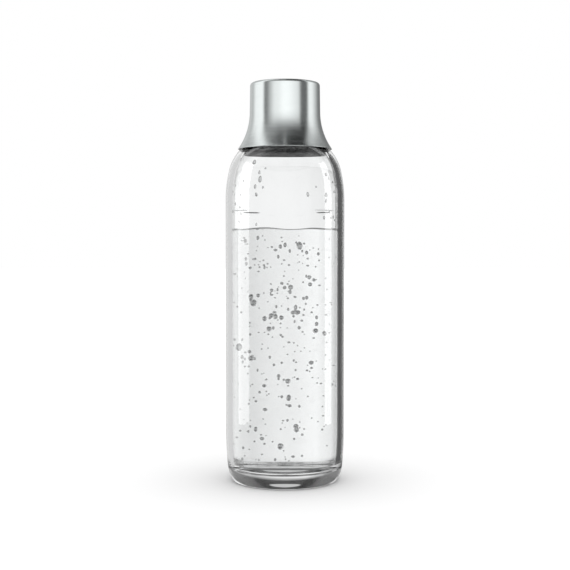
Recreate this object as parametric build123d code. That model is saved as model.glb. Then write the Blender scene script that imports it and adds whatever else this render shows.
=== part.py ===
from build123d import *
from math import atan2, cos, degrees, radians, sin, sqrt
import os

# Glass carbonating bottle with a flared steel screw cap, filled with sparkling water.
# Millimetres, +Z up, origin on the axis at the face the bottle stands on, front towards -Y.

# ---------------------------------------------------------------- glass bottle
BODY_R = 40.0             # outside radius of the straight body
WALL = 4.0                # glass thickness of body, shoulder and neck
BODY_Z0 = 34.0            # where the foot taper ends
FOOT_R = 38.9             # outside radius where the heel starts
FOOT_Z = 10.5
HEEL_R = 35.2             # outside radius where the heel meets the standing plane
HEEL_EDGE = 1.2           # rounding of the heel's lower edge
STAND_R = 29.5            # inner radius of the standing ring
PUSHUP_Z = 3.2            # height of the hollow under the base, at the centre
FLOOR_Z = 8.6             # inside floor height
FLOOR_CORNER = 5.0        # inside corner radius
SHOULDER_LOW_R = 88.7     # long arc from the straight body into the shoulder
SHOULDER_Z = 189.2        # where that arc starts
SHOULDER_TURN = 13.3      # degrees it turns before the tight arc takes over
SHOULDER_UP_R = 29.7      # tight arc over the shoulder
NECK_FILLET = 5.0         # outside fillet between shoulder and neck
NECK_R = 17.5             # neck outside radius between the threads
BORE_R = NECK_R - WALL
RIM_Z = 262.6             # top of the glass
RIM_ROUND = 1.6

# ---------------------------------------------------------------- screw thread
STARTS = 3
PITCH = 4.0               # axial distance between neighbouring ridges
LEAD = STARTS * PITCH     # rise in one turn
RIDGE_H = 1.5             # radial height of a ridge
RIDGE_BED = 0.4           # how deep a ridge is bedded in its wall
THREAD_GAP = 0.35         # radial clearance between the two threads
GLASS_RIDGE = (2.6, 1.4)  # ridge width at its root and at its crest
CORE_RIDGE = (2.1, 0.9)
GLASS_THREAD_Z = 245.0    # middle of a glass ridge at its lower end
GLASS_THREAD_TURN = 0.80  # turns each glass ridge runs
CORE_THREAD_TURN = 0.70

# ---------------------------------------------------------------- cap shell
CAP_TOP_Z = 268.0
CAP_TOP_R = 23.4
CAP_EDGE = 2.0            # rounding of the top edge
FLARE_R0 = 23.7           # outside radius where the flare starts
FLARE_Z = 248.8
FLARE_ARC = 43.4          # radius of the hollow flare
CAP_RIM_Z = 223.6
SHELL_T = 0.8             # steel thickness
RIM_EDGE = 0.15           # rounding of the lower rim, outside; twice this inside
FIT = 0.1                 # gap between the steel and what is pressed into it

# ---------------------------------------------------------------- threaded core
SLEEVE_R = NECK_R + RIDGE_H + THREAD_GAP
SLEEVE_T = 1.5
SLEEVE_Z = 238.6
LID_T = 2.0
RIBS = 24
RIB_T = 1.0
RIB_Z = 245.0             # lower ends of the ribs

# ---------------------------------------------------------------- lock ring
LOCK_Z = 240.4
LOCK_H = 3.2
LOCK_T = 1.0

# ---------------------------------------------------------------- seal
SEAL_R = 18.4
SEAL_T = 2.1
SEAL_GAP = 0.05           # gap to the glass rim

# ---------------------------------------------------------------- water and marks
WATER_Z = 169.6
WATER_GAP = 0.05
MARK_Z = 181.8
MARK_H = 0.8
MARK_T = 0.08
MARK_ARC = 24.0           # degrees one printed dash covers
MARKS = {
    "fill_mark_front_left": -139.0,
    "fill_mark_front_right": -49.0,
    "fill_mark_rear_right": 41.0,
    "fill_mark_rear_left": 131.0,
}


def polar(centre, radius, angle):
    """Point at an angle in degrees on a circle."""
    return (centre[0] + radius * cos(radians(angle)), centre[1] + radius * sin(radians(angle)))


def flat(point):
    """A point as a plain (radius, height) pair."""
    return (point.X, point.Y)


# ---------------------------------------------------------------- shared glass outline
FOOT_ARC = ((BODY_Z0 - FOOT_Z) ** 2 + (BODY_R - FOOT_R) ** 2) / (2 * (BODY_R - FOOT_R))
FOOT_C = (BODY_R - FOOT_ARC, BODY_Z0)
LOW_C = (BODY_R - SHOULDER_LOW_R, SHOULDER_Z)
UP_C = polar(polar(LOW_C, SHOULDER_LOW_R, SHOULDER_TURN), -SHOULDER_UP_R, SHOULDER_TURN)
NECK_C_R = NECK_R + NECK_FILLET
NECK_C = (NECK_C_R, UP_C[1] + sqrt((SHOULDER_UP_R + NECK_FILLET) ** 2 - (NECK_C_R - UP_C[0]) ** 2))
NECK_ANGLE = degrees(atan2(NECK_C[1] - UP_C[1], NECK_C[0] - UP_C[0]))


def foot_arc(inset, low_z):
    """Foot taper, moved inwards by inset, from low_z up to the straight body."""
    radius = FOOT_ARC - inset
    angle = degrees(atan2(BODY_Z0 - low_z, sqrt(radius**2 - (BODY_Z0 - low_z) ** 2)))
    return CenterArc(FOOT_C, radius, -angle, angle)


def shoulder_arcs(inset):
    """Shoulder and neck fillet, moved inwards by inset, from the body up to the neck."""
    low = CenterArc(LOW_C, SHOULDER_LOW_R - inset, 0, SHOULDER_TURN)
    up = CenterArc(UP_C, SHOULDER_UP_R - inset, SHOULDER_TURN, NECK_ANGLE - SHOULDER_TURN)
    neck = CenterArc(NECK_C, NECK_FILLET + inset, 180 + NECK_ANGLE, -NECK_ANGLE)
    return [low, up, neck]


def hollow_arcs(inset):
    """Inside corner and foot taper of the bottle, moved inwards by inset."""
    taper = foot_arc(inset, FLOOR_Z + FLOOR_CORNER)
    start = (flat(taper @ 0)[0] - FLOOR_CORNER, FLOOR_Z + inset - WALL)
    corner = TangentArc(start, flat(taper @ 0), tangent=(1, 0))
    return [corner, taper]


def rounded(outline, corners):
    """Round chosen corners of a flat outline, given as (point, radius) pairs."""
    for point, radius in corners:
        corner = outline.vertices().sort_by_distance((point[0], point[1], 0))[0]
        outline = fillet(corner, radius)
    return outline


def spun(outline):
    """Solid of revolution about Z; the outline's X is radius and its Y is height."""
    return revolve(Plane.XZ * outline, Axis.Z)


def ridge(root_r, out, widths, low_z, turns, angle):
    """One helical ridge with round ends, bedded in its wall; out is 1 or -1."""
    half_crest = widths[1] / 2
    half_bed = widths[0] / 2 + RIDGE_BED * (widths[0] - widths[1]) / 2 / RIDGE_H
    bed_r = root_r - out * RIDGE_BED
    crest_r = root_r + out * RIDGE_H
    section = Polyline(
        (bed_r, -half_bed),
        (crest_r, -half_crest),
        (crest_r, half_crest),
        (bed_r, half_bed),
        close=True,
    )
    path = Helix(pitch=LEAD, height=LEAD * turns, radius=root_r)
    body = sweep(Plane.XZ * make_face(section), path=path, is_frenet=True)
    nose = Cone(half_bed, half_crest, RIDGE_H + RIDGE_BED)
    nose = Pos((bed_r + crest_r) / 2, 0, 0) * Rot(0, out * 90, 0) * nose
    body = body + nose + Pos(0, 0, LEAD * turns) * Rot(0, 0, 360 * turns) * nose
    return Pos(0, 0, low_z) * Rot(0, 0, angle) * body


def glass_bottle():
    foot = foot_arc(0, FOOT_Z)
    heel_top = flat(foot @ 0)
    low, up, neck = shoulder_arcs(0)
    in_low, in_up, in_neck = shoulder_arcs(WALL)
    in_corner, in_foot = hollow_arcs(WALL)
    foot_slope = foot % 0
    outline = make_face(
        [
            ThreePointArc((0, PUSHUP_Z), (STAND_R / 2, PUSHUP_Z * 0.75), (STAND_R, 0)),
            Line((STAND_R, 0), (HEEL_R, 0)),
            TangentArc(heel_top, (HEEL_R, 0), tangent=(-foot_slope.X, -foot_slope.Y)),
            foot,
            Line((BODY_R, BODY_Z0), (BODY_R, SHOULDER_Z)),
            low,
            up,
            neck,
            Line((NECK_R, NECK_C[1]), (NECK_R, RIM_Z)),
            Line((NECK_R, RIM_Z), (BORE_R, RIM_Z)),
            Line((BORE_R, RIM_Z), (BORE_R, NECK_C[1])),
            in_neck,
            in_up,
            in_low,
            Line((BODY_R - WALL, SHOULDER_Z), (BODY_R - WALL, BODY_Z0)),
            in_foot,
            in_corner,
            Line(flat(in_corner @ 0), (0, FLOOR_Z)),
            Line((0, FLOOR_Z), (0, PUSHUP_Z)),
        ]
    )
    corners = [
        ((NECK_R, RIM_Z), RIM_ROUND),
        ((BORE_R, RIM_Z), RIM_ROUND),
        ((HEEL_R, 0), HEEL_EDGE),
        ((STAND_R, 0), HEEL_EDGE),
    ]
    bottle = spun(rounded(outline, corners))
    for start in range(STARTS):
        angle = 360 * start / STARTS
        bottle += ridge(NECK_R, 1, GLASS_RIDGE, GLASS_THREAD_Z, GLASS_THREAD_TURN, angle)
    return bottle


def fill_mark(angle):
    band = CenterArc((0, 0), BODY_R + MARK_T / 2, angle - MARK_ARC / 2, MARK_ARC)
    dash = trace(band, MARK_T)
    return Pos(0, 0, MARK_Z - MARK_H / 2) * extrude(dash, MARK_H)


def sparkling_water():
    corner, taper = hollow_arcs(WALL + WATER_GAP)
    wall_r = BODY_R - WALL - WATER_GAP
    outline = make_face(
        [
            Line((0, FLOOR_Z + WATER_GAP), flat(corner @ 0)),
            corner,
            taper,
            Line((wall_r, BODY_Z0), (wall_r, WATER_Z)),
            Line((wall_r, WATER_Z), (0, WATER_Z)),
            Line((0, WATER_Z), (0, FLOOR_Z + WATER_GAP)),
        ]
    )
    return spun(outline)


def flare_arc(inset):
    """Hollow flare of the cap, moved inwards by inset, from its rim up to the straight part."""
    radius = FLARE_ARC + inset
    drop = degrees(atan2(FLARE_Z - CAP_RIM_Z, sqrt(radius**2 - (FLARE_Z - CAP_RIM_Z) ** 2)))
    return CenterArc((FLARE_R0 + FLARE_ARC, FLARE_Z), radius, 180 + drop, -drop)


def shell_inside_r(height):
    """Inside radius of the steel at a height within the flare."""
    return FLARE_R0 + FLARE_ARC - sqrt((FLARE_ARC + SHELL_T) ** 2 - (FLARE_Z - height) ** 2)


def cap_shell():
    outer = flare_arc(0)
    inner = flare_arc(SHELL_T)
    outline = make_face(
        [
            Line((0, CAP_TOP_Z), (CAP_TOP_R, CAP_TOP_Z)),
            Line((CAP_TOP_R, CAP_TOP_Z), (FLARE_R0, FLARE_Z)),
            outer,
            Line(flat(outer @ 0), flat(inner @ 0)),
            inner,
            Line((FLARE_R0 - SHELL_T, FLARE_Z), (CAP_TOP_R - SHELL_T, CAP_TOP_Z - SHELL_T)),
            Line((CAP_TOP_R - SHELL_T, CAP_TOP_Z - SHELL_T), (0, CAP_TOP_Z - SHELL_T)),
            Line((0, CAP_TOP_Z - SHELL_T), (0, CAP_TOP_Z)),
        ]
    )
    corners = [
        ((CAP_TOP_R, CAP_TOP_Z), CAP_EDGE),
        ((CAP_TOP_R - SHELL_T, CAP_TOP_Z - SHELL_T), CAP_EDGE - SHELL_T),
        (flat(outer @ 0), RIM_EDGE),
        (flat(inner @ 0), RIM_EDGE * 2),
    ]
    return spun(rounded(outline, corners))


def cap_core():
    lid_top = CAP_TOP_Z - SHELL_T - FIT
    lid_bottom = lid_top - LID_T
    lid_r = CAP_TOP_R - SHELL_T - FIT
    sleeve = Pos(0, 0, SLEEVE_Z) * Cylinder(
        SLEEVE_R + SLEEVE_T, lid_top - SLEEVE_Z, align=(Align.CENTER, Align.CENTER, Align.MIN)
    )
    sleeve -= Pos(0, 0, SLEEVE_Z) * Cylinder(
        SLEEVE_R, lid_bottom - SLEEVE_Z, align=(Align.CENTER, Align.CENTER, Align.MIN)
    )
    lid = Pos(0, 0, lid_bottom + LID_T / 2) * Cylinder(lid_r, LID_T)
    lid = chamfer(lid.edges().group_by(Axis.Z)[-1], CAP_EDGE - SHELL_T + FIT)
    core = sleeve + lid
    rib_in = SLEEVE_R + SLEEVE_T / 2
    rib = Pos((rib_in + lid_r) / 2, 0, (RIB_Z + lid_bottom + 0.5) / 2)
    rib = rib * Box(lid_r - rib_in, RIB_T, lid_bottom + 0.5 - RIB_Z)
    for index in range(RIBS):
        core += Rot(0, 0, 360 * index / RIBS) * rib
    thread_z = GLASS_THREAD_Z + PITCH / 2
    for start in range(STARTS):
        angle = 360 * start / STARTS
        core += ridge(SLEEVE_R, -1, CORE_RIDGE, thread_z, CORE_THREAD_TURN, angle)
    return core


def cap_lock_ring():
    inner_r = SLEEVE_R + SLEEVE_T + FIT
    low_r = shell_inside_r(LOCK_Z) - FIT
    high_r = shell_inside_r(LOCK_Z + LOCK_H) - FIT
    outline = make_face(
        Polyline(
            (inner_r, LOCK_Z),
            (low_r, LOCK_Z),
            (high_r, LOCK_Z + LOCK_H),
            (high_r - LOCK_T, LOCK_Z + LOCK_H),
            (low_r - LOCK_T, LOCK_Z + LOCK_T),
            (inner_r, LOCK_Z + LOCK_T),
            close=True,
        )
    )
    return spun(outline)


def cap_seal():
    low, high = RIM_Z + SEAL_GAP, RIM_Z + SEAL_GAP + SEAL_T
    outline = make_face(
        Polyline((0, low), (SEAL_R, low), (SEAL_R, high), (0, high), close=True)
    )
    return spun(rounded(outline, [((SEAL_R, low), 0.5), ((SEAL_R, high), 0.5)]))


NODES = {
    "glass_bottle": glass_bottle,
    "sparkling_water": sparkling_water,
    "cap_shell": cap_shell,
    "cap_core": cap_core,
    "cap_lock_ring": cap_lock_ring,
    "cap_seal": cap_seal,
}

os.makedirs("parts", exist_ok=True)
for name, make in NODES.items():
    export_step(make(), f"parts/{name}.step")
for name, angle in MARKS.items():
    export_step(fill_mark(angle), f"parts/{name}.step")
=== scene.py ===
"""Looks of the glass carbonating bottle: clear glass, sparkling water, brushed steel screw cap."""

import math
import random

import bmesh
import bpy
from mathutils import Matrix, Vector, noise


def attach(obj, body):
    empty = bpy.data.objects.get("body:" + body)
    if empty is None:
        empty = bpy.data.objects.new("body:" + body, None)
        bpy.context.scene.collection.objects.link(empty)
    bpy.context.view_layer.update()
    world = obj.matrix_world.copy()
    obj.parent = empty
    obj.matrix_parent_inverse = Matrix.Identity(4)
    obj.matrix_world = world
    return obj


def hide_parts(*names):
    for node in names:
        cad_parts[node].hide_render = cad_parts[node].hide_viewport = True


MM = 0.001
TURN = 2 * math.pi

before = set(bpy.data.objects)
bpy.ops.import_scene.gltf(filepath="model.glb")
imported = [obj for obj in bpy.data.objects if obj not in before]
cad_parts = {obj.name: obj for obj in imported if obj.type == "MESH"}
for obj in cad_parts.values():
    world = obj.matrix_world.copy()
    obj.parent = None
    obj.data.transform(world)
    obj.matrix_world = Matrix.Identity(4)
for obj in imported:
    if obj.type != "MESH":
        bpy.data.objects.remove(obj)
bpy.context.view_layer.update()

# ------------------------------------------------------------------ sizes, in mm, as in the CAD
BODY_R = 40.0
WALL = 4.0
BODY_Z0 = 34.0
FOOT_R, FOOT_Z = 38.9, 10.5
HEEL_R, HEEL_EDGE = 35.2, 1.2
STAND_R, PUSHUP_Z = 29.5, 3.2
FLOOR_Z, FLOOR_CORNER = 8.6, 5.0
LOW_ARC, SHOULDER_Z, SHOULDER_TURN = 88.7, 189.2, 13.3
UP_ARC = 29.7
NECK_R, NECK_FILLET = 17.5, 5.0
BORE_R = NECK_R - WALL
RIM_Z, RIM_ROUND = 262.6, 1.6
STARTS, PITCH, RIDGE_H = 3, 4.0, 1.5
LEAD = STARTS * PITCH
THREAD_Z, THREAD_TURN = 245.0, 0.80
CAP_TOP_Z, CAP_TOP_R, CAP_EDGE = 268.0, 23.4, 2.0
FLARE_R0, FLARE_Z, FLARE_ARC, CAP_RIM_Z = 23.7, 248.8, 43.4, 223.6
SHELL_T, RIM_EDGE = 0.8, 0.15
WATER_Z = 169.6
MARK_Z, MARK_H, MARK_T, MARK_ARC = 181.8, 0.8, 0.08, 24.0
MARKS = {
    "fill_mark_front_left": -139.0,
    "fill_mark_front_right": -49.0,
    "fill_mark_rear_right": 41.0,
    "fill_mark_rear_left": 131.0,
}
MARK_LIFT, MARK_STEPS = 0.02, 28
SEGMENTS = 256
WATER_GAP = 0.05
# Where the rounded corners of the standing ring take over from the heel's and the hollow's arcs.
HEEL_CUT_Z, DOME_CUT = 0.95, 0.4
# How far below its first start the thread's ridge is looked for.
THREAD_REACH = 3.0


# ------------------------------------------------------------------ outlines of (radius, height)
def arc(centre, radius, start, end, step=0.8):
    """Points along an arc from start to end degrees, about step mm apart."""
    count = max(2, int(abs(math.radians(end - start)) * radius / step) + 1)
    points = []
    for k in range(count + 1):
        a = math.radians(start + (end - start) * k / count)
        points.append((centre[0] + radius * math.cos(a), centre[1] + radius * math.sin(a)))
    return points


def line(a, b, step=2.0):
    """Points along a straight run from a to b."""
    count = max(1, int(math.dist(a, b) / step))
    return [(a[0] + (b[0] - a[0]) * k / count, a[1] + (b[1] - a[1]) * k / count) for k in range(count + 1)]


def chain(*runs):
    """One outline from several runs, without repeated points."""
    points = []
    for run in runs:
        for p in run:
            if not points or math.dist(points[-1], p) > 1e-4:
                points.append(p)
    return points


def corner(before, at, after, radius, step=0.25):
    """Rounded corner between two straight runs, as points from one tangent to the other."""
    u = Vector((before[0] - at[0], before[1] - at[1])).normalized()
    v = Vector((after[0] - at[0], after[1] - at[1])).normalized()
    half = u.angle(v) / 2
    reach = radius / math.tan(half)
    c = Vector(at) + (u + v).normalized() * (radius / math.sin(half))
    p0 = Vector(at) + u * reach
    p1 = Vector(at) + v * reach
    a0 = math.degrees(math.atan2(p0.y - c.y, p0.x - c.x))
    a1 = math.degrees(math.atan2(p1.y - c.y, p1.x - c.x))
    turn = (a1 - a0 + 180) % 360 - 180
    return arc(c, radius, a0, a0 + turn, step)


def polar(centre, radius, angle):
    a = math.radians(angle)
    return (centre[0] + radius * math.cos(a), centre[1] + radius * math.sin(a))


FOOT_ARC = ((BODY_Z0 - FOOT_Z) ** 2 + (BODY_R - FOOT_R) ** 2) / (2 * (BODY_R - FOOT_R))
FOOT_C = (BODY_R - FOOT_ARC, BODY_Z0)
LOW_C = (BODY_R - LOW_ARC, SHOULDER_Z)
UP_C = polar(polar(LOW_C, LOW_ARC, SHOULDER_TURN), -UP_ARC, SHOULDER_TURN)
NECK_C_R = NECK_R + NECK_FILLET
NECK_C = (NECK_C_R, UP_C[1] + math.sqrt((UP_ARC + NECK_FILLET) ** 2 - (NECK_C_R - UP_C[0]) ** 2))
NECK_ANGLE = math.degrees(math.atan2(NECK_C[1] - UP_C[1], NECK_C[0] - UP_C[0]))


def foot_angle(inset, low_z):
    radius = FOOT_ARC - inset
    return math.degrees(math.asin((BODY_Z0 - low_z) / radius))


def shoulder(inset):
    return chain(
        arc(LOW_C, LOW_ARC - inset, 0, SHOULDER_TURN, 1.5),
        arc(UP_C, UP_ARC - inset, SHOULDER_TURN, NECK_ANGLE, 0.8),
        arc(NECK_C, NECK_FILLET + inset, 180 + NECK_ANGLE, 180, 0.5),
    )


def hollow(inset):
    """Inside of the bottle from the floor's centre up to the straight wall."""
    low_z = FLOOR_Z + FLOOR_CORNER
    angle = foot_angle(inset, low_z)
    top = polar(FOOT_C, FOOT_ARC - inset, -angle)
    floor_z = FLOOR_Z + inset - WALL
    rise = top[1] - floor_z
    lean = math.radians(angle)
    radius = rise / (1 - math.sin(lean))
    centre = (top[0] - radius * math.cos(lean), floor_z + radius)
    return chain(
        line((0, floor_z), (centre[0], floor_z)),
        arc(centre, radius, -90, -angle, 0.4),
        arc(FOOT_C, FOOT_ARC - inset, -angle, 0, 1.5),
    )


def glass_outline():
    heel_angle = foot_angle(0, FOOT_Z)
    heel_top = polar(FOOT_C, FOOT_ARC, -heel_angle)
    # heel: the arc tangent to the foot taper that ends at the standing plane
    lean = math.radians(heel_angle)
    d_r = heel_top[0] - HEEL_R
    half = math.atan2(d_r, heel_top[1])
    end = 2 * half - lean
    radius = heel_top[1] / (math.sin(end) - math.sin(lean))
    centre = (heel_top[0] - radius * math.cos(lean), heel_top[1] + radius * math.sin(lean))
    heel = arc(centre, radius, -math.degrees(end), -heel_angle, 0.5)
    heel = [p for p in heel if p[1] > HEEL_CUT_Z]
    edge = corner((STAND_R, 0), (HEEL_R, 0), heel[1], HEEL_EDGE)
    dome_r = (STAND_R**2 + PUSHUP_Z**2) / (2 * PUSHUP_Z)
    dome_end = math.degrees(math.asin(STAND_R / dome_r))
    dome = arc((0, PUSHUP_Z - dome_r), dome_r, 90, 90 - dome_end, 1.0)
    ring_in = corner(dome[-3], (STAND_R, 0), (HEEL_R, 0), HEEL_EDGE)
    dome = [p for p in dome if p[0] < STAND_R - DOME_CUT]
    outer = chain(dome, ring_in, edge, heel[1:], arc(FOOT_C, FOOT_ARC, -heel_angle, 0, 1.5))
    outer = chain(outer, line((BODY_R, BODY_Z0), (BODY_R, SHOULDER_Z), 8.0), shoulder(0))
    return outer


def inner_outline(inset=WALL):
    wall_r = BODY_R - inset
    return chain(hollow(inset), line((wall_r, BODY_Z0), (wall_r, SHOULDER_Z), 8.0), shoulder(inset))


# ------------------------------------------------------------------ mesh building
def new_object(name, verts, faces):
    mesh = bpy.data.meshes.new(name)
    mesh.from_pydata(verts, [], faces)
    mesh.validate()
    mesh.polygons.foreach_set("use_smooth", [True] * len(mesh.polygons))
    mesh.update()
    obj = bpy.data.objects.new(name, mesh)
    bpy.context.collection.objects.link(obj)
    return obj


def revolve(name, outline, segments=SEGMENTS, shape=None, closed=False):
    """Turns an outline about Z. shape(r, z, angle) may move a point; the ends may lie on the axis."""
    verts = []
    rings = []
    for r, z in outline:
        if r < 1e-6:
            p = shape(0.0, z, 0.0) if shape else (0.0, z)
            verts.append((0.0, 0.0, p[1] * MM))
            rings.append([len(verts) - 1] * segments)
            continue
        ring = []
        for k in range(segments):
            a = TURN * k / segments
            pr, pz = shape(r, z, a) if shape else (r, z)
            ring.append(len(verts))
            verts.append((pr * math.cos(a) * MM, pr * math.sin(a) * MM, pz * MM))
        rings.append(ring)
    faces = []
    pairs = list(zip(rings, rings[1:]))
    if closed:
        pairs.append((rings[-1], rings[0]))
    for low, high in pairs:
        for k in range(segments):
            n = (k + 1) % segments
            face = [low[k], low[n], high[n], high[k]]
            unique = list(dict.fromkeys(face))
            if len(unique) > 2:
                faces.append(unique)
    return new_object(name, verts, faces)


def ridge_height(z, angle):
    """Height, 0 to 1, of the neck's thread at a height and angle, fading out at its ends."""
    root, crest, ease = 1.3, 0.7, 0.05
    best = 0.0
    for start in range(STARTS):
        along = (angle / TURN - start / STARTS + ease) % 1.0 - ease
        if along > THREAD_TURN + ease:
            continue
        off = abs(z - (THREAD_Z + LEAD * along))
        side = min(max((root - off) / (root - crest), 0.0), 1.0)
        fade = min((along + ease) / ease, (THREAD_TURN + ease - along) / ease, 1.0)
        best = max(best, side * fade)
    return best * best * (3 - 2 * best)


# ------------------------------------------------------------------ materials
def material(name, **values):
    """New material and its Principled shader with constant values set on its own sockets."""
    mat = bpy.data.materials.new(name)
    mat.use_nodes = True
    shader = mat.node_tree.nodes["Principled BSDF"]
    for key, value in values.items():
        shader.inputs[key.replace("_", " ")].default_value = value
    return mat, shader


def node(mat, kind, **settings):
    """New node in a material's tree, with properties and input values set."""
    made = mat.node_tree.nodes.new(kind)
    for key, value in settings.items():
        if key.startswith("in_"):
            made.inputs[key[3:].replace("_", " ")].default_value = value
        else:
            setattr(made, key, value)
    return made


def link(mat, a, b):
    mat.node_tree.links.new(a, b)


def ramp(mat, source, stops):
    """Colour ramp from (position, colour) pairs."""
    made = node(mat, "ShaderNodeValToRGB")
    link(mat, source, made.inputs["Fac"])
    elements = made.color_ramp.elements
    while len(elements) < len(stops):
        elements.new(0.5)
    for element, (place, colour) in zip(elements, stops):
        element.position = place
        element.color = colour if len(colour) == 4 else (*colour, 1.0)
    return made.outputs["Color"]


def noise_of(mat, scale, detail=3.0, stretch=(1, 1, 1)):
    """Noise on the object's own coordinates, stretched along its axes."""
    coords = node(mat, "ShaderNodeTexCoord")
    place = node(mat, "ShaderNodeMapping", in_Scale=stretch)
    link(mat, coords.outputs["Object"], place.inputs["Vector"])
    made = node(mat, "ShaderNodeTexNoise", in_Scale=scale, in_Detail=detail)
    link(mat, place.outputs["Vector"], made.inputs["Vector"])
    return made.outputs["Fac"]


def bump(mat, shader, height, strength, distance):
    made = node(mat, "ShaderNodeBump", in_Strength=strength, in_Distance=distance)
    link(mat, height, made.inputs["Height"])
    link(mat, made.outputs["Normal"], shader.inputs["Normal"])


def glass_material():
    mat, shader = material("clear_glass", IOR=1.5, Roughness=0.0, Transmission_Weight=1.0)
    tint = ramp(mat, noise_of(mat, 30.0), [(0.3, (0.93, 0.935, 0.935)), (0.7, (0.945, 0.95, 0.95))])
    link(mat, tint, shader.inputs["Base Color"])
    bump(mat, shader, noise_of(mat, 60.0, 1.0, (1, 1, 0.4)), 0.02, 0.001)
    return mat


def water_material(name, low, high):
    mat, shader = material(name, IOR=1.333, Roughness=0.0, Transmission_Weight=1.0)
    tint = ramp(mat, noise_of(mat, 25.0), [(0.3, low), (0.7, high)])
    link(mat, tint, shader.inputs["Base Color"])
    return mat


# Brushing: change of the noise across its lines per metre, and round the axis.
LINE_DENSITY, LINE_DRIFT = 3500.0, 2.5
STEEL_ROUGHNESS = (0.22, 0.27)


def steel_material(name, low, high):
    """Metal brushed round the axis: fine lines across Z, and across the radius on the flat top."""
    mat, shader = material(name, Metallic=1.0, Anisotropic=0.75, Anisotropic_Rotation=0.25)
    coords = node(mat, "ShaderNodeTexCoord")
    split = node(mat, "ShaderNodeSeparateXYZ")
    link(mat, coords.outputs["Object"], split.inputs["Vector"])
    flat = node(mat, "ShaderNodeVectorMath", operation="MULTIPLY")
    flat.inputs[1].default_value = (1, 1, 0)
    link(mat, coords.outputs["Object"], flat.inputs[0])
    length = node(mat, "ShaderNodeVectorMath", operation="LENGTH")
    link(mat, flat.outputs["Vector"], length.inputs[0])
    across = node(mat, "ShaderNodeMath", operation="ADD")
    link(mat, split.outputs["Z"], across.inputs[0])
    link(mat, length.outputs["Value"], across.inputs[1])
    stretch = node(mat, "ShaderNodeMath", operation="MULTIPLY")
    stretch.inputs[1].default_value = LINE_DENSITY
    link(mat, across.outputs["Value"], stretch.inputs[0])
    unit = node(mat, "ShaderNodeVectorMath", operation="NORMALIZE")
    link(mat, flat.outputs["Vector"], unit.inputs[0])
    wide = node(mat, "ShaderNodeVectorMath", operation="SCALE", in_Scale=LINE_DRIFT)
    link(mat, unit.outputs["Vector"], wide.inputs[0])
    parts = node(mat, "ShaderNodeSeparateXYZ")
    link(mat, wide.outputs["Vector"], parts.inputs["Vector"])
    joined = node(mat, "ShaderNodeCombineXYZ")
    link(mat, parts.outputs["X"], joined.inputs["X"])
    link(mat, parts.outputs["Y"], joined.inputs["Y"])
    link(mat, stretch.outputs["Value"], joined.inputs["Z"])
    lines = node(mat, "ShaderNodeTexNoise", in_Scale=1.0, in_Detail=3.0, in_Roughness=0.6)
    link(mat, joined.outputs["Vector"], lines.inputs["Vector"])
    tint = ramp(mat, lines.outputs["Fac"], [(0.3, low), (0.7, high)])
    link(mat, tint, shader.inputs["Base Color"])
    smooth, coarse = STEEL_ROUGHNESS
    rough = ramp(mat, lines.outputs["Fac"], [(0.3, (smooth,) * 3), (0.7, (coarse,) * 3)])
    link(mat, rough, shader.inputs["Roughness"])
    bump(mat, shader, lines.outputs["Fac"], 0.05, 0.00005)
    tangent = node(mat, "ShaderNodeTangent", direction_type="RADIAL", axis="Z")
    link(mat, tangent.outputs["Tangent"], shader.inputs["Tangent"])
    return mat


def moulded_material(name, colour, roughness, grain):
    """Moulded plastic or rubber with a fine grain and slightly uneven colour."""
    mat, shader = material(name)
    low = tuple(c * 0.93 for c in colour)
    tint = ramp(mat, noise_of(mat, 120.0), [(0.35, low), (0.65, colour)])
    link(mat, tint, shader.inputs["Base Color"])
    rough = ramp(mat, noise_of(mat, 400.0), [(0.3, (roughness - 0.06,) * 3), (0.7, (roughness + 0.06,) * 3)])
    link(mat, rough, shader.inputs["Roughness"])
    bump(mat, shader, noise_of(mat, grain, 2.0), 0.15, 0.0002)
    return mat


GLASS = glass_material()
WATER = water_material("water", (0.90, 0.905, 0.905), (0.92, 0.925, 0.925))
# Grey tint on the clear gas bubbles: painted shade for the dark look they take from bending light.
GAS_PAINTED_SHADE = water_material("gas", (0.32, 0.325, 0.325), (0.52, 0.525, 0.525))
# Grey tint on the clear water beads: painted shade for the dark rims they take from bending light.
BEAD_PAINTED_SHADE = water_material("water_bead_painted_shade", (0.54, 0.545, 0.545), (0.66, 0.665, 0.665))
STEEL = steel_material("brushed_stainless", (0.84, 0.885, 0.88), (0.91, 0.955, 0.95))
# Near-black steel for the inside of the cap: painted shade, standing in for the dark that its bright steel
# reflects there.
PAINTED_SHADE_STEEL = steel_material("steel_painted_shade_inside", (0.02, 0.02, 0.02), (0.035, 0.035, 0.035))
PLASTIC = moulded_material("moulded_plastic", (0.045, 0.046, 0.048), 0.45, 1500.0)
GREY_PLASTIC = moulded_material("grey_plastic", (0.24, 0.245, 0.25), 0.5, 1500.0)
SILICONE = moulded_material("silicone", (0.74, 0.75, 0.75), 0.6, 900.0)
ENAMEL = moulded_material("enamel", (0.55, 0.56, 0.56), 0.4, 1500.0)


# ------------------------------------------------------------------ the bottle
def make_glass():
    rim_out = corner((NECK_R, NECK_C[1]), (NECK_R, RIM_Z), (BORE_R, RIM_Z), RIM_ROUND)
    rim_in = corner((NECK_R, RIM_Z), (BORE_R, RIM_Z), (BORE_R, NECK_C[1]), RIM_ROUND)
    neck = line((NECK_R, NECK_C[1]), rim_out[0], 0.4)
    bore = line(rim_in[-1], (BORE_R, NECK_C[1]), 2.0)
    outline = chain(glass_outline(), neck, rim_out, rim_in, bore, inner_outline()[::-1])

    def shape(r, z, angle):
        if abs(r - NECK_R) < 1e-3 and z > THREAD_Z - THREAD_REACH:
            r += RIDGE_H * ridge_height(z, angle)
        return r, z

    glass = revolve("bottle_glass", outline, shape=shape)
    glass.data.materials.append(GLASS)
    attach(glass, "bottle")
    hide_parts("glass_bottle")
    return glass


# The water's surface: how far it lies below WATER_Z, its creep up the glass and how far in that
# reaches, and the number of rings it is meshed with.
SURFACE_DROP, CREEP, CREEP_REACH, SURFACE_RINGS = 0.6, 1.2, 1.4, 60


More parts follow.
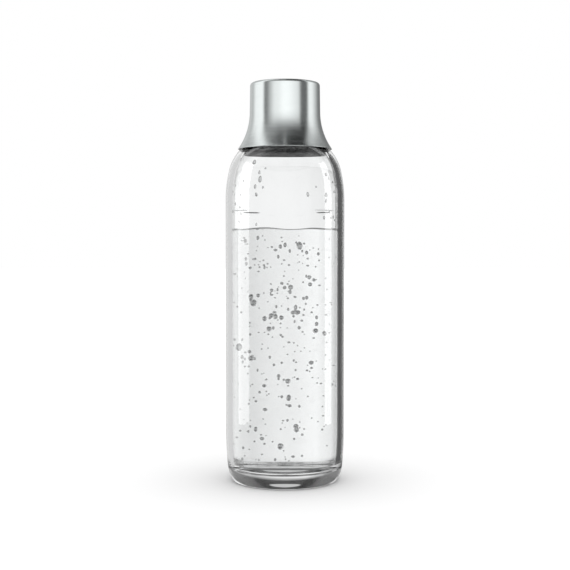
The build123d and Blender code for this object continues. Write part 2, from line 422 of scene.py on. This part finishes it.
def surface_wave(x, y):
    """Height in mm of the slightly unsettled water surface."""
    return 0.45 * math.sin(0.21 * x + 0.8) * math.cos(0.09 * y) + 0.25 * math.sin(0.11 * x - 0.12 * y)


def make_water():
    inset = WALL + WATER_GAP
    wall_r = BODY_R - inset
    side = chain(hollow(inset), line((wall_r, BODY_Z0), (wall_r, WATER_Z - 1.5), 4.0))
    level = WATER_Z - SURFACE_DROP
    top = []
    for k in range(SURFACE_RINGS):
        r = wall_r * (1 - k / SURFACE_RINGS)
        edge = math.exp(-(wall_r - r) / CREEP_REACH)
        top.append((r, level + CREEP * edge))
    top.append((0.0, level))

    def shape(r, z, angle):
        if z > WATER_Z - 1.0:
            z += surface_wave(r * math.cos(angle), r * math.sin(angle))
        return r, z

    water = revolve("water_body", chain(side, top), shape=shape)
    water.data.materials.append(WATER)
    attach(water, "bottle")
    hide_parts("sparkling_water")
    return water


def blob(bm, centre, radii, turn, segments, seed, wobble):
    """A slightly uneven closed bead added to a bmesh as a cavity, so its faces look inwards."""
    made = bmesh.ops.create_icosphere(bm, subdivisions=segments, radius=1.0)
    rot = Matrix.Rotation(turn, 3, "Z")
    for v in made["verts"]:
        lump = 1.0 + wobble * noise.noise(v.co * 1.3 + Vector((seed, seed * 0.7, 0)))
        p = Vector((v.co.x * radii[0], v.co.y * radii[1], v.co.z * radii[2])) * lump
        v.co = (rot @ p + centre) * MM
    faces = {f for v in made["verts"] for f in v.link_faces}
    bmesh.ops.reverse_faces(bm, faces=list(faces))


def finish_bmesh(name, bm, mat):
    mesh = bpy.data.meshes.new(name)
    bm.to_mesh(mesh)
    bm.free()
    mesh.polygons.foreach_set("use_smooth", [True] * len(mesh.polygons))
    mesh.materials.append(mat)
    obj = bpy.data.objects.new(name, mesh)
    bpy.context.collection.objects.link(obj)
    return obj


# Gas bubbles in the water: how many, least radius, spread of radius, how far out from the axis
# they reach, greatest stretch upwards, and how finely each is meshed.
LARGE_BUBBLES = (104, 0.66, 1.0, 26.0, 1.7, 3)
SMALL_BUBBLES = (240, 0.4, 0.45, BODY_R - WALL - 2.5, 1.2, 2)
BUBBLE_REACH = SMALL_BUBBLES[3]
LARGE_WOBBLE, SMALL_WOBBLE = 0.14, 0.06
BUBBLE_GAP = 0.25
BUBBLE_LOW, BUBBLE_HIGH = 13.5, WATER_Z - 4.0
# Share of the large bubbles that sit close beside an earlier one, and how far off, in mm.
CLUSTERED, CLUSTER_REACH = 0.25, 5.0


def bubble_place(rng, reach, size, beside):
    """A place for a bubble: close beside an earlier one, or anywhere within reach of the axis."""
    if beside:
        return beside + Vector([rng.uniform(-CLUSTER_REACH, CLUSTER_REACH) for _ in range(3)])
    r = (reach - size) * math.sqrt(rng.random())
    a = TURN * rng.random()
    z = BUBBLE_LOW + (BUBBLE_HIGH - BUBBLE_LOW) * rng.random() ** 0.85
    return Vector((r * math.cos(a), r * math.sin(a), z))


def make_bubbles():
    rng = random.Random(41)
    bm = bmesh.new()
    placed = []
    for kind in (LARGE_BUBBLES, SMALL_BUBBLES):
        count, least, spread, reach, stretch, segments = kind
        large = kind is LARGE_BUBBLES
        wobble = LARGE_WOBBLE if large else SMALL_WOBBLE
        goal = len(placed) + count
        while len(placed) < goal:
            size = least + spread * rng.random() ** 2.2
            tall = size * rng.uniform(0.75, stretch)
            beside = rng.choice(placed)[0] if large and placed and rng.random() < CLUSTERED else None
            centre = bubble_place(rng, reach, size, beside)
            extent = max(size, tall)
            inside = BUBBLE_LOW <= centre.z <= BUBBLE_HIGH and centre.xy.length + extent < BUBBLE_REACH
            clear = all((centre - c).length > extent + e + BUBBLE_GAP for c, e in placed)
            if not (inside and clear):
                continue
            placed.append((centre, extent))
            radii = (size, size * rng.uniform(0.8, 1.0), tall)
            blob(bm, centre, radii, TURN * rng.random(), segments, len(placed), wobble)
    bubbles = finish_bmesh("gas_bubbles", bm, GAS_PAINTED_SHADE)
    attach(bubbles, "bottle")
    return bubbles


# Droplets on the inside of the glass: how many, how near they come to each other, and how far
# round from the middle of the front and of the back they keep, in degrees.
DROPLET_COUNT, DROPLET_GAP = 34, 2.4
DROPLET_CLEAR = 24
DROPLET_LOW, DROPLET_HIGH = WATER_Z + 3.8, 213.0
# How deep a droplet is against its lesser half size, how much it sags, how uneven its edge is
# with two and three lobes, and its gap to the glass.
DROPLET_DEPTH, DROPLET_SAG, DROPLET_LOBES, DROPLET_LIFT = 0.85, 0.15, (0.10, 0.06), 0.03
DROPLET_RINGS, DROPLET_SIDES = 6, 20
WALL_FROM_Z = 150


def drawn_droplets(wall_at):
    """Droplets as degrees round from the front, z, half width and half height."""
    rng = random.Random(12)
    drops = []
    while len(drops) < DROPLET_COUNT:
        degrees = rng.choice((-1, 1)) * rng.uniform(DROPLET_CLEAR, 180 - DROPLET_CLEAR)
        z = rng.uniform(DROPLET_LOW, DROPLET_HIGH)
        half_w = 0.55 + 0.75 * rng.random() ** 1.3
        half_h = half_w * rng.uniform(1.0, 1.75)
        turn = math.radians(degrees)
        spot = Vector((wall_at(z) * math.cos(turn), wall_at(z) * math.sin(turn), z))
        if all((spot - other).length > half_h + DROPLET_GAP for other, _ in drops):
            drops.append((spot, (degrees, z, half_w, half_h)))
    return [drop for _, drop in drops]


def make_droplets():
    """Beads of water that stick to the inside of the glass above the water."""
    wall = [p for p in inner_outline() if p[1] > WALL_FROM_Z]

    def wall_at(z):
        for (r0, z0), (r1, z1) in zip(wall, wall[1:]):
            if z0 <= z <= z1 and z1 > z0:
                return r0 + (r1 - r0) * (z - z0) / (z1 - z0)
        return wall[-1][0]

    bm = bmesh.new()
    rings, sides = DROPLET_RINGS, DROPLET_SIDES
    two, three = DROPLET_LOBES
    for k, (degrees, z, half_w, half_h) in enumerate(drawn_droplets(wall_at)):
        middle = math.radians(degrees - 90)
        lean = math.atan2(wall_at(z - 0.5) - wall_at(z + 0.5), 1.0)
        faces = []
        for depth, out in ((DROPLET_DEPTH * min(half_w, half_h), 1), (0.0, -1)):
            loops = []
            for ring in range(rings + 1):
                share = ring / rings
                loop = []
                for side in range(sides if ring else 1):
                    a = TURN * side / sides
                    uneven = 1 + two * math.sin(2 * a + k) + three * math.sin(3 * a + 2 * k)
                    s = half_w * share * math.cos(a) * uneven
                    t = half_h * share * math.sin(a) * uneven
                    t -= DROPLET_SAG * half_h * (1 - share**2) if out > 0 else 0
                    up = z + t * math.cos(lean)
                    r = wall_at(up) - DROPLET_LIFT - depth * math.sqrt(max(0.0, 1 - share**2.4))
                    turn = middle + s / wall_at(up)
                    loop.append(bm.verts.new((r * math.cos(turn) * MM, r * math.sin(turn) * MM, up * MM)))
                loops.append(loop)
            for inner, outer in zip(loops, loops[1:]):
                for side in range(sides):
                    n = (side + 1) % sides
                    ring = [inner[side % len(inner)], outer[side], outer[n], inner[n % len(inner)]]
                    ring = list(dict.fromkeys(ring))
                    faces.append(bm.faces.new(ring if out < 0 else ring[::-1]))
    bmesh.ops.remove_doubles(bm, verts=bm.verts, dist=1e-6)
    bmesh.ops.recalc_face_normals(bm, faces=bm.faces)
    drops = finish_bmesh("water_droplets", bm, BEAD_PAINTED_SHADE)
    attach(drops, "bottle")
    return drops


def make_marks():
    """The printed dashes, thinning towards their ends, just proud of the glass."""
    for name, middle in MARKS.items():
        bm = bmesh.new()
        rows = []
        for k in range(MARK_STEPS + 1):
            a = math.radians(middle - MARK_ARC / 2 + MARK_ARC * k / MARK_STEPS)
            taper = min(1.0, 4.0 * min(k, MARK_STEPS - k) / MARK_STEPS + 0.35)
            half = MARK_H / 2 * taper
            ring = []
            for r, z in ((MARK_LIFT, -half), (MARK_T, -half), (MARK_T, half), (MARK_LIFT, half)):
                rr = BODY_R + r
                ring.append(bm.verts.new((rr * math.cos(a) * MM, rr * math.sin(a) * MM, (MARK_Z + z) * MM)))
            rows.append(ring)
        for a, b in zip(rows, rows[1:]):
            for k in range(4):
                bm.faces.new((a[k], b[k], b[(k + 1) % 4], a[(k + 1) % 4]))
        bm.faces.new(rows[0])
        bm.faces.new(rows[-1][::-1])
        bmesh.ops.recalc_face_normals(bm, faces=bm.faces)
        piece = finish_bmesh(name.replace("fill_mark", "level_dash"), bm, ENAMEL)
        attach(piece, "bottle")
        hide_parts(name)


# ------------------------------------------------------------------ the cap
def flare(inset):
    radius = FLARE_ARC + inset
    drop = math.degrees(math.asin((FLARE_Z - CAP_RIM_Z) / radius))
    return arc((FLARE_R0 + FLARE_ARC, FLARE_Z), radius, 180 + drop, 180, 0.6)


# Height in metres above which faces that look down are the underside of the cap's lid, which gets the
# near-black steel of painted shade.
LID_UNDERSIDE = 0.24


def make_cap():
    """The cap's shell, with painted shade on its inside: near-black steel there stands in for the dark that
    bright steel reflects inside the cap.
    """
    outer, inner = flare(0), flare(SHELL_T)
    foot = outer[0]
    heel = inner[0]
    low_out = corner(outer[2], foot, heel, RIM_EDGE, 0.05)[::-1]
    low_in = corner(foot, heel, inner[2], RIM_EDGE * 2, 0.05)
    top = (CAP_TOP_R, CAP_TOP_Z)
    top_edge = corner((FLARE_R0, FLARE_Z), top, (0, CAP_TOP_Z), CAP_EDGE, 0.12)
    in_top = (CAP_TOP_R - SHELL_T, CAP_TOP_Z - SHELL_T)
    in_edge = corner((0, in_top[1]), in_top, (FLARE_R0 - SHELL_T, FLARE_Z), CAP_EDGE - SHELL_T, 0.12)
    outside = chain(
        low_out,
        outer[1:],
        line((FLARE_R0, FLARE_Z), top_edge[0]),
        top_edge,
        line(top_edge[-1], (0, CAP_TOP_Z)),
    )
    inside = chain(
        line((0, in_top[1]), in_edge[0]),
        in_edge,
        line(in_edge[-1], (FLARE_R0 - SHELL_T, FLARE_Z)),
        inner[::-1][:-1],
        low_in[::-1],
    )
    cap = revolve("cap_steel", chain(outside, inside), closed=True)
    cap.data.materials.append(STEEL)
    cap.data.materials.append(PAINTED_SHADE_STEEL)
    # Faces looking inwards and the lid's underside get the near-black steel: painted shade.
    for face in cap.data.polygons:
        middle = sum((cap.data.vertices[v].co for v in face.vertices), Vector()) / len(face.vertices)
        inward = face.normal.x * middle.x + face.normal.y * middle.y < 0
        if inward or (face.normal.z < -0.5 and middle.z > LID_UNDERSIDE):
            face.material_index = 1
    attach(cap, "cap")
    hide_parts("cap_shell")


# ------------------------------------------------------------------ stage, light and camera
FLOOR_HALF, FLOOR_DROP = 6.0, 0.0001


def make_floor():
    """Pale floor, in metres, a hair below the object's standing ring."""
    bm = bmesh.new()
    signs = ((-1, -1), (1, -1), (1, 1), (-1, 1))
    corners = [bm.verts.new((x * FLOOR_HALF, y * FLOOR_HALF, -FLOOR_DROP)) for x, y in signs]
    bm.faces.new(corners)
    mat, shader = material("studio_floor", Roughness=0.9)
    shader.inputs["Specular IOR Level"].default_value = 0.0
    tint = ramp(mat, noise_of(mat, 3.0), [(0.3, (0.90, 0.90, 0.90)), (0.7, (0.92, 0.92, 0.92))])
    link(mat, tint, shader.inputs["Base Color"])
    floor = finish_bmesh("studio_floor", bm, mat)
    floor.visible_glossy = False
    floor.visible_transmission = False


# Name, foot, lowest and highest edge in mm, brightness.
CARDS = [
    ("right_card", [(46, 32), (92, 32)], -20, 245, 0.07),
    ("left_card", [(-92, 32), (-46, 32)], -20, 245, 0.70),
    ("top_card", [(-170, 150), (170, 150)], 229, 330, 1.08),
]
# Name, place and size in metres, radiance.
PANELS = [
    ("left_softbox", (-0.42, -0.048, 0.2185), (0.21, 0.483), 3.2),
    ("right_softbox", (0.42, -0.015, 0.2185), (0.13, 0.483), 3.2),
]


def make_card(name, foot, low, high, brightness):
    """Upright card along a line of (x, y) points, in mm, seen only through the glass and water."""
    bm = bmesh.new()
    rows = [[bm.verts.new((x * MM, y * MM, z * MM)) for x, y in foot] for z in (low, high)]
    for k in range(len(foot) - 1):
        bm.faces.new((rows[0][k], rows[0][k + 1], rows[1][k + 1], rows[1][k]))
    mat = bpy.data.materials.new(name)
    mat.use_nodes = True
    mat.node_tree.nodes.clear()
    glow = node(mat, "ShaderNodeEmission", in_Color=(brightness, brightness, brightness, 1.0))
    out = node(mat, "ShaderNodeOutputMaterial")
    link(mat, glow.outputs["Emission"], out.inputs["Surface"])
    card = finish_bmesh(name, bm, mat)
    for ray in ("camera", "diffuse", "glossy", "shadow", "volume_scatter"):
        setattr(card, "visible_" + ray, False)


def make_panel(name, place, size, radiance, lit):
    """Upright soft light facing the axis, in metres, seen only as a shine on the pieces in lit."""
    light = bpy.data.lights.new(name, "AREA")
    light.shape = "RECTANGLE"
    light.size, light.size_y = size
    light.energy = radiance * math.pi * size[0] * size[1]
    panel = bpy.data.objects.new(name, light)
    panel.location = place
    facing = Vector((-place[0], 0, 0))
    panel.rotation_euler = facing.to_track_quat("-Z", "Y").to_euler()
    panel.visible_camera = False
    panel.visible_transmission = False
    group = bpy.data.collections.new(name + "_lit")
    for piece in lit:
        group.objects.link(piece)
    panel.light_linking.receiver_collection = group
    bpy.context.collection.objects.link(panel)


# What shiny surfaces reflect, as (degrees round from the camera's side, + to the right, brightness),
# up to 22 degrees above the horizon, from 36 to 52 degrees, and from 64 degrees up.
LOW = [
    (-180, 0.42), (-150, 0.58), (-128, 0.50), (-112, 0.96), (-77, 1.06), (-71, 0.20), (-63, 0.16),
    (-50, 0.54), (-36, 0.92), (-18, 1.02), (-6, 1.16), (12, 1.15), (30, 1.00), (46, 0.84), (54, 0.16),
    (76, 0.11), (85, 1.02), (100, 0.96), (116, 0.60), (135, 0.22), (160, 0.18), (180, 0.42),
]
MIDDLE = [
    (-180, 0.42), (-140, 0.38), (-116, 0.50), (-100, 1.00), (-82, 0.95), (-70, 0.27), (-50, 0.23),
    (-34, 0.18), (-21, 0.10), (-5, 0.09), (15, 0.04), (40, 0.0), (73, 0.0), (86, 0.60), (100, 0.56),
    (111, 0.42), (126, 0.20), (150, 0.28), (165, 0.42), (180, 0.42),
]
HIGH = [
    (-180, 0.42), (-136, 0.44), (-128, 0.70), (-114, 1.25), (-92, 1.20), (-77, 0.26), (-64, 0.06),
    (-25, 0.02), (-10, 0.06), (-5, 0.32), (2, 0.32), (8, 0.05), (30, 0.0), (70, 0.0), (80, 0.05),
    (94, 0.05), (104, 0.03), (150, 0.10), (180, 0.42),
]
# What is seen through the clear pieces, as (degrees round from straight behind, + to the right,
# brightness): level with the object, just above the horizon, and on the table behind it.
BEHIND = [
    (-180, 0.98), (-100, 0.98), (-60, 0.92), (-46, 0.88), (-40, 0.36), (-34, 0.36), (-29, 0.95), (-22, 1.05),
    (-15, 1.24), (-4, 1.03), (3, 1.01), (16, 0.90), (24, 0.88), (31, 1.02), (60, 0.96), (180, 0.98),
]
DUSK = [
    (-180, 0.85), (-90, 0.85), (-62, 0.14), (-30, 0.09), (-14, 0.03), (14, 0.03), (30, 0.09), (62, 0.14),
    (90, 0.85), (180, 0.85),
]
TABLE = [(-180, 0.95), (-40, 0.95), (-24, 0.12), (24, 0.12), (40, 0.95), (180, 0.95)]
CEILING = 0.6
# Rise in degrees over which one table gives way to the next.
MIDDLE_BAND, HIGH_BAND = (22, 36), (52, 64)
TABLE_BAND, DUSK_BAND, CEILING_BAND = (-13, -18), (6, 9.5), (48, 60)
# Bright oval windows straight behind: half width, lowest and highest rise in degrees, brightness.
WINDOWS = [(11.5, 11.7, 14.4, 0.55), (9.5, 19.0, 27.0, 0.75)]
WINDOW_EDGE = 4.0
ROOM_LIGHT = 1.24
TOP_LEVEL = 1.25


def make_world():
    """White behind the object for the camera, even light for the floor, cards for shine and glass."""
    world = bpy.data.worlds.new("studio")
    bpy.context.scene.world = world
    world.use_nodes = True
    world.cycles.sampling_method = "NONE"
    tree = world.node_tree
    tree.nodes.clear()

    def sum_of(operation, *values, clamp=False):
        made = tree.nodes.new("ShaderNodeMath")
        made.operation = operation
        made.use_clamp = clamp
        for socket, value in zip(made.inputs, values):
            if isinstance(value, (int, float)):
                socket.default_value = value
            else:
                tree.links.new(value, socket)
        return made.outputs["Value"]

    def level_round(turn, stops):
        made = tree.nodes.new("ShaderNodeValToRGB")
        tree.links.new(turn, made.inputs["Fac"])
        elements = made.color_ramp.elements
        while len(elements) < len(stops):
            elements.new(0.5)
        for element, (angle, level) in zip(elements, stops):
            element.position = angle / 360 + 0.5
            element.color = (*(3 * (level / TOP_LEVEL,)), 1.0)
        return made.outputs["Color"]

    def mixed(factor, a, b):
        made = tree.nodes.new("ShaderNodeMix")
        made.data_type = "RGBA"
        tree.links.new(factor, made.inputs["Factor"])
        for socket, value in (("A", a), ("B", b)):
            socket = next(i for i in made.inputs if i.name == socket and i.type == "RGBA")
            if isinstance(value, float):
                socket.default_value = (value, value, value, 1.0)
            else:
                tree.links.new(value, socket)
        return next(o for o in made.outputs if o.type == "RGBA")

    def between(value, low, high):
        part = sum_of("SUBTRACT", value, math.radians(low))
        return sum_of("DIVIDE", part, math.radians(high - low), clamp=True)

    coords = tree.nodes.new("ShaderNodeTexCoord")
    split = tree.nodes.new("ShaderNodeSeparateXYZ")
    tree.links.new(coords.outputs["Generated"], split.inputs["Vector"])
    x, y, z = split.outputs["X"], split.outputs["Y"], split.outputs["Z"]

    def turn_of(x, y):
        return sum_of("ADD", sum_of("DIVIDE", sum_of("ARCTAN2", x, y), TURN), 0.5)

    front = turn_of(x, sum_of("MULTIPLY", y, -1.0))
    rise = sum_of("ARCSINE", sum_of("MULTIPLY", z, 0.99999))
    shine = mixed(between(rise, *MIDDLE_BAND), level_round(front, LOW), level_round(front, MIDDLE))
    shine = mixed(between(rise, *HIGH_BAND), shine, level_round(front, HIGH))
    behind = turn_of(x, y)
    through = mixed(between(rise, *TABLE_BAND), level_round(behind, BEHIND), level_round(behind, TABLE))
    through = mixed(between(rise, *DUSK_BAND), through, level_round(behind, DUSK))
    through = mixed(between(rise, *CEILING_BAND), through, CEILING / TOP_LEVEL)
    for side, low, high, level in WINDOWS:
        across = sum_of("DIVIDE", sum_of("SUBTRACT", behind, 0.5), side / 360)
        up = sum_of("SUBTRACT", rise, math.radians((low + high) / 2))
        up = sum_of("DIVIDE", up, math.radians((high - low) / 2))
        reach = sum_of("ADD", sum_of("MULTIPLY", across, across), sum_of("MULTIPLY", up, up))
        inside = sum_of("MULTIPLY", sum_of("SUBTRACT", 1.0, reach), WINDOW_EDGE, clamp=True)
        through = mixed(inside, through, level / TOP_LEVEL)
    path = tree.nodes.new("ShaderNodeLightPath")
    level = mixed(path.outputs["Is Transmission Ray"], shine, through)
    level = mixed(path.outputs["Is Diffuse Ray"], level, ROOM_LIGHT / TOP_LEVEL)
    level = mixed(path.outputs["Is Camera Ray"], level, 1.0 / TOP_LEVEL)
    ground = tree.nodes.new("ShaderNodeBackground")
    ground.inputs["Strength"].default_value = TOP_LEVEL
    tree.links.new(level, ground.inputs["Color"])
    out = tree.nodes.new("ShaderNodeOutputWorld")
    tree.links.new(ground.outputs["Background"], out.inputs["Surface"])


# Lens in mm, place in metres, and degrees that the camera looks down.
LENS, CAMERA_PLACE, CAMERA_DIP = 70.22, (0, -0.7527, 0.1608), 2.18


def make_camera():
    data = bpy.data.cameras.new("camera")
    data.lens = LENS
    data.sensor_width = 36.0
    camera = bpy.data.objects.new("camera", data)
    camera.location = CAMERA_PLACE
    camera.rotation_euler = (math.radians(90 - CAMERA_DIP), 0, 0)
    bpy.context.collection.objects.link(camera)
    bpy.context.scene.camera = camera


glass = make_glass()
water = make_water()
bubbles = make_bubbles()
droplets = make_droplets()
make_marks()
make_cap()
for name, mat in (("cap_core", PLASTIC), ("cap_lock_ring", GREY_PLASTIC), ("cap_seal", SILICONE)):
    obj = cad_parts[name]
    obj.data.materials.clear()
    obj.data.materials.append(mat)

make_floor()
for card in CARDS:
    make_card(*card)
make_world()
for panel in PANELS:
    make_panel(*panel, (glass, water, bubbles, droplets))
make_camera()

scene = bpy.context.scene
scene.view_settings.view_transform = "Standard"
scene.cycles.max_bounces = 24
scene.cycles.transmission_bounces = 24
scene.cycles.glossy_bounces = 8
scene.cycles.diffuse_bounces = 3
scene.cycles.transparent_max_bounces = 8
scene.cycles.sample_clamp_indirect = 6.0
scene.cycles.caustics_reflective = False
scene.cycles.caustics_refractive = False
